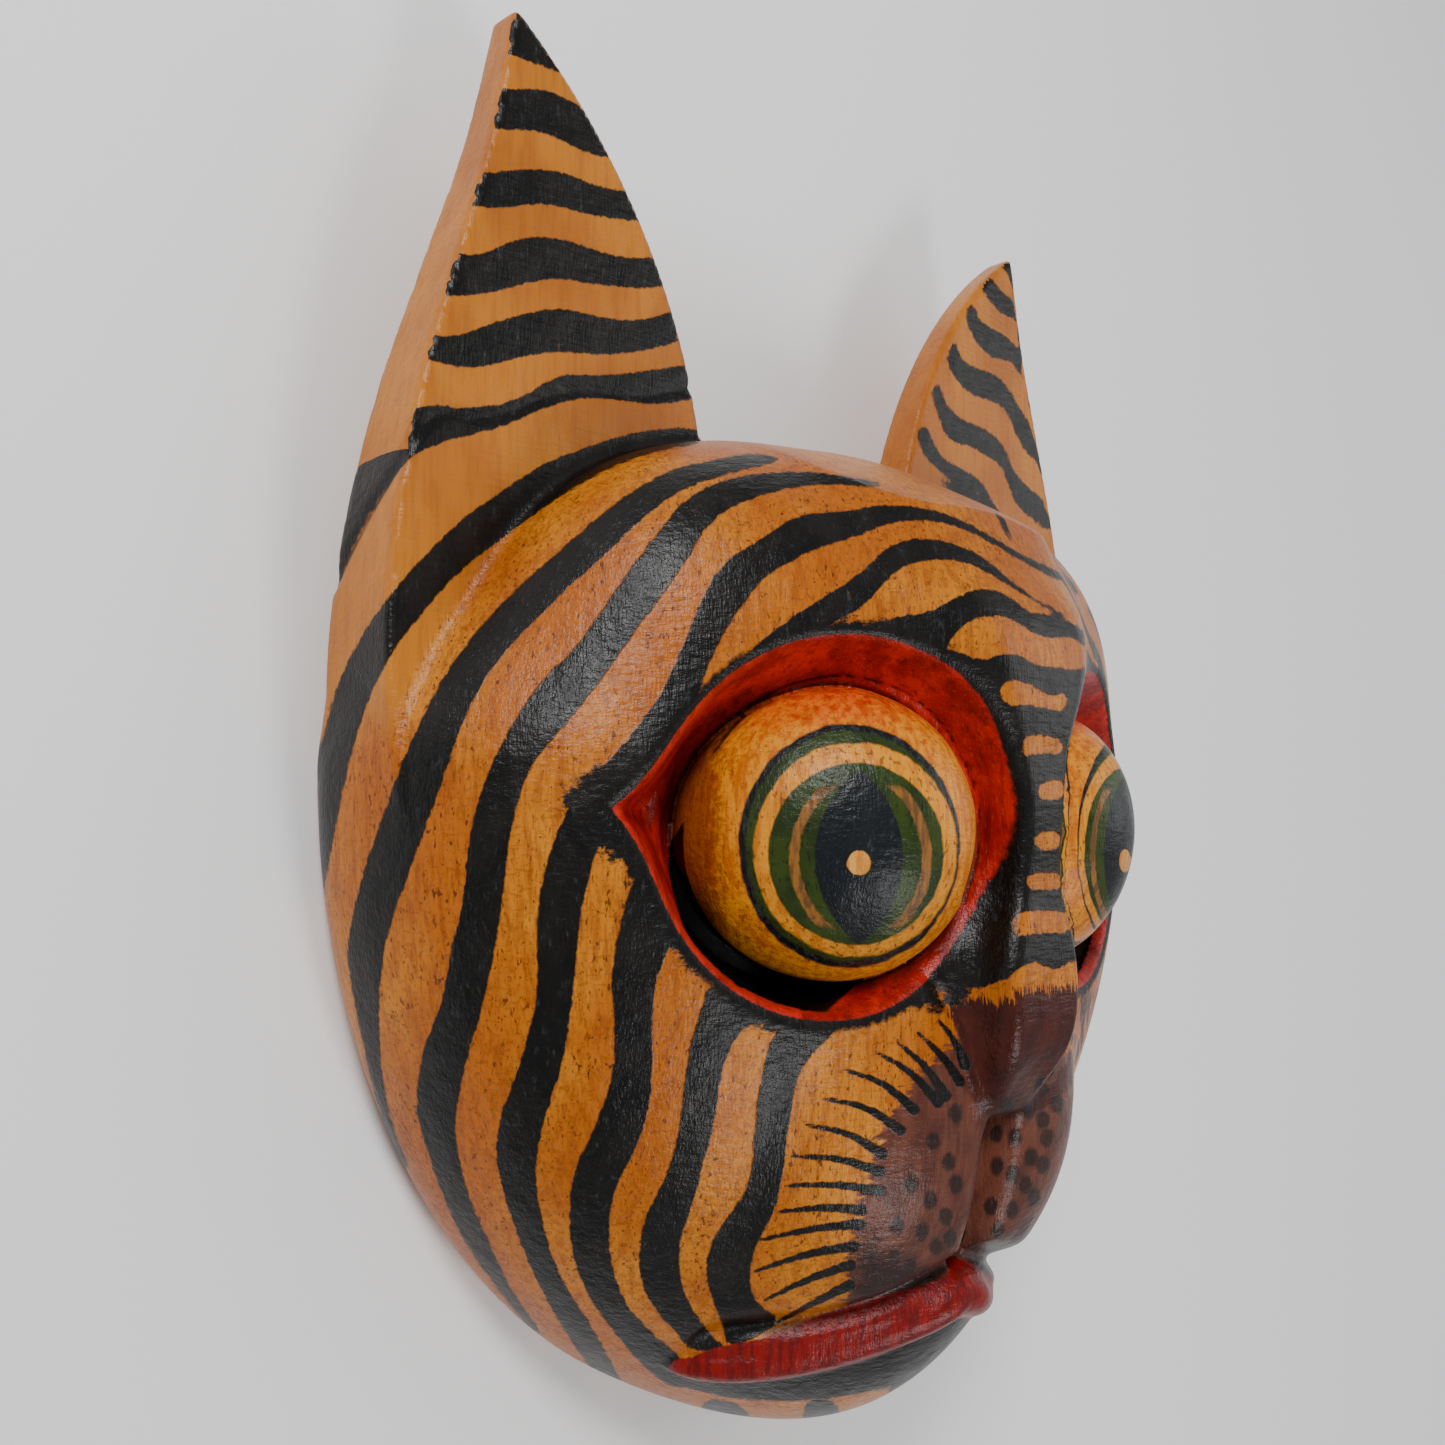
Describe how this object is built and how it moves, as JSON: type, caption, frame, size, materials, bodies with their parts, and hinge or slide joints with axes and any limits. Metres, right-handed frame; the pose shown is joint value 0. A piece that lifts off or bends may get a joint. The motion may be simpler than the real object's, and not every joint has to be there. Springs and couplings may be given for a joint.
{
  "type": "cat mask",
  "caption": "Carved and painted wooden cat face mask with upright pointed ears, bulging eyes over see-through slits and a hollow back.",
  "frame": {"origin": "centre of the box at the level of the flat back rim, which the mask lies on", "axes": "+Z out of the face, +Y towards the ear tips, +X to the right of a viewer facing the mask"},
  "size_m": [0.2382, 0.3046, 0.0967],
  "materials": {
    "painted_wood": "golden varnished wood with black hand-painted stripes, red eye rims and lip, and a brown muzzle, glossy"
  },
  "bodies": {
    "root": {"cat_mask": "painted_wood"}
  },
  "joints": []
}
